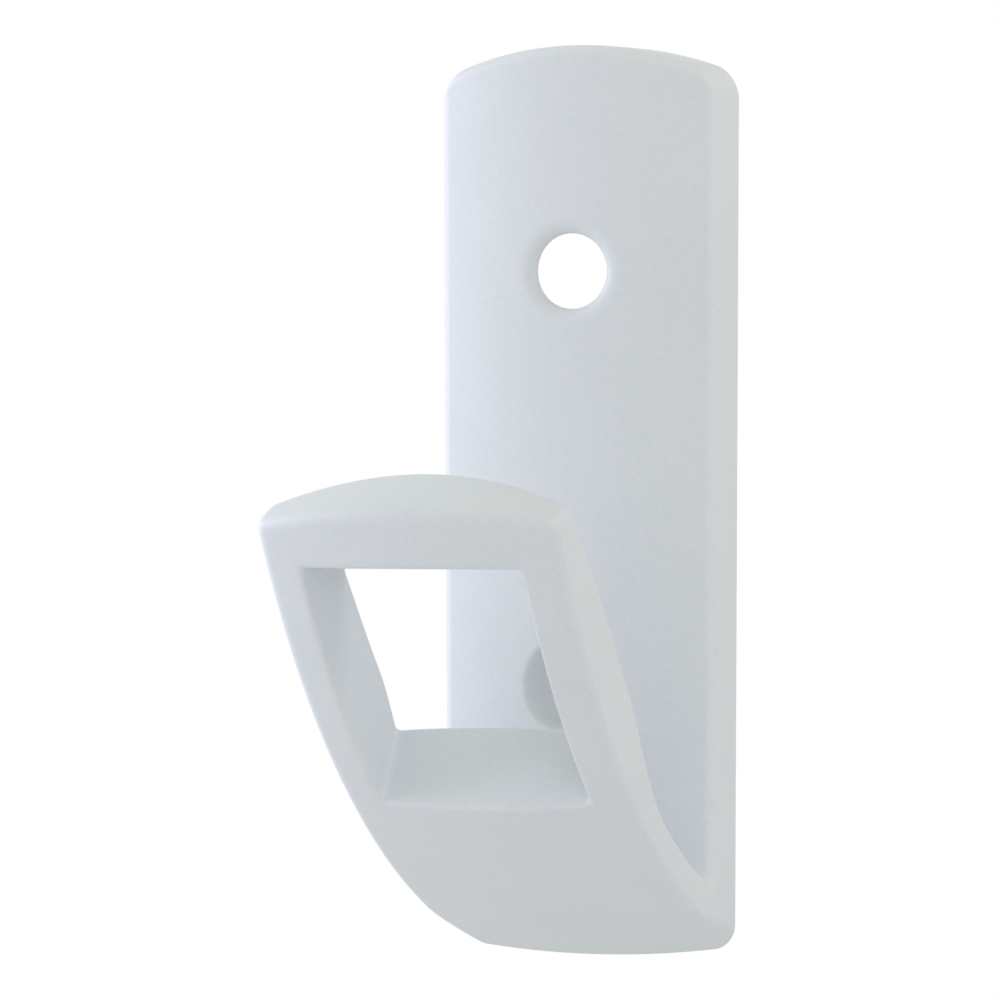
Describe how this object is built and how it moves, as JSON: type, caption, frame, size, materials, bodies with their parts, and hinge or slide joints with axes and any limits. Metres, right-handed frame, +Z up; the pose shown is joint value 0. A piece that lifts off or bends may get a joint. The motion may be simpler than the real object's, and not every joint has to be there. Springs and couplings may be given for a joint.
{
  "type": "clothes hook",
  "caption": "Wall hook for clothes: a tall, slightly crowned back plate with an arched top and screw holes, and a broad curved arm with a square window, rising from its foot.",
  "frame": {"origin": "on the wall plane, on the rib midway between the two screw holes", "axes": "+Z up along the plate, +Y into the wall, square to its face, +X across the plate; the arm stands out towards -Y"},
  "size_m": [0.0262, 0.0408, 0.075],
  "materials": {
    "white_plastic": "satin, with a fine grain"
  },
  "bodies": {
    "root": {"back_plate": "white_plastic", "hook_arm": "white_plastic"}
  },
  "joints": []
}
